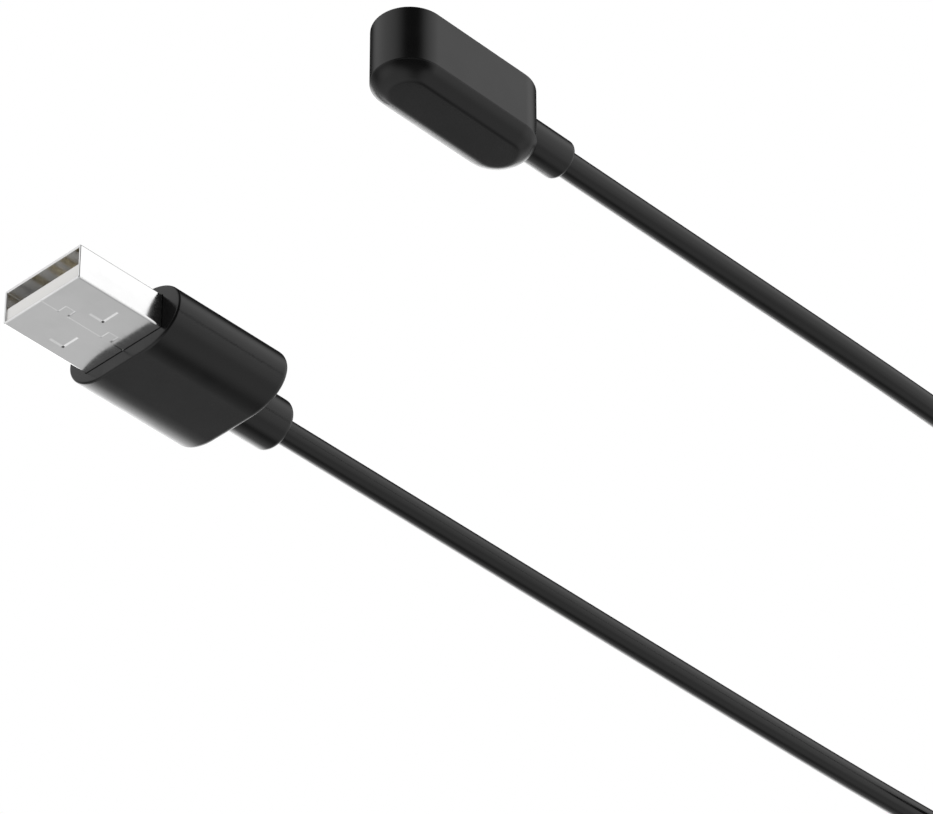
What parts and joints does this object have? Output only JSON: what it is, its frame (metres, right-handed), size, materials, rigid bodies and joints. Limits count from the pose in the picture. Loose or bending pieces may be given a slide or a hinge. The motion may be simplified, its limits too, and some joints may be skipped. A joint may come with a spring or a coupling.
{
  "type": "magnetic charging cord",
  "caption": "Charging cord for a fitness tracker band: magnetic head with sprung gold contact pins, slim black cord and flat USB-A plug.",
  "frame": {"origin": "centre of the charging head's back face, on the surface that the head lies on", "axes": "+X from the head along the cord, +Y towards the USB plug, +Z out of the head's contact face"},
  "size_m": [0.2008, 0.0666, 0.0103],
  "materials": {
    "gloss_black_housing": "smooth moulded gloss black",
    "contact_plate_black": "polished black",
    "relief_black": "satin black soft plastic",
    "cord_jacket": "satin black jacket",
    "tie_fabric": "black hook and loop tape",
    "spring_steel": "drawn wire",
    "gold_contact": "gold plated",
    "magnet_nickel": "nickel plated",
    "board_green": "green solder mask",
    "solder": "bright solder",
    "wire_red": "insulated conductor",
    "wire_black": "insulated conductor",
    "shell_steel": "bright nickel plated steel",
    "insulator_white": "white moulded",
    "core_natural": "natural inner moulding"
  },
  "bodies": {
    "charger": {"contact_plate": "contact_plate_black", "cord_coil": "cord_jacket", "cord_head_side": "cord_jacket", "cord_plug_side": "cord_jacket", "cord_tie": "tie_fabric", "head_back_cover": "gloss_black_housing", "head_board": "board_green", "head_boot": "relief_black", "head_housing": "gloss_black_housing", "head_solder_joints": "solder", "head_wire_black": "wire_black", "head_wire_red": "wire_red", "magnet_a": "magnet_nickel", "magnet_b": "magnet_nickel", "pogo_barrel_a": "gold_contact", "pogo_barrel_b": "gold_contact", "pogo_spring_a": "spring_steel", "pogo_spring_b": "spring_steel", "usb_contact_1": "gold_contact", "usb_contact_2": "gold_contact", "usb_contact_3": "gold_contact", "usb_contact_4": "gold_contact", "usb_core": "core_natural", "usb_insulator": "insulator_white", "usb_overmould": "gloss_black_housing", "usb_shell": "shell_steel", "usb_solder_joints": "solder", "usb_strain_relief": "relief_black", "usb_wire_black": "wire_black", "usb_wire_red": "wire_red"},
    "pin_a": {"pogo_plunger_a": "gold_contact"},
    "pin_b": {"pogo_plunger_b": "gold_contact"}
  },
  "joints": [
    {"name": "pin_a_press", "type": "slide", "parent": "charger", "child": "pin_a", "axis": [0, 0, -1], "range_m": [0, 0.0008], "stiffness_N_per_m": 600, "springref_m": -0.0006, "deforming": ["pogo_spring_a"]},
    {"name": "pin_b_press", "type": "slide", "parent": "charger", "child": "pin_b", "axis": [0, 0, -1], "range_m": [0, 0.0008], "stiffness_N_per_m": 600, "springref_m": -0.0006, "deforming": ["pogo_spring_b"]}
  ]
}
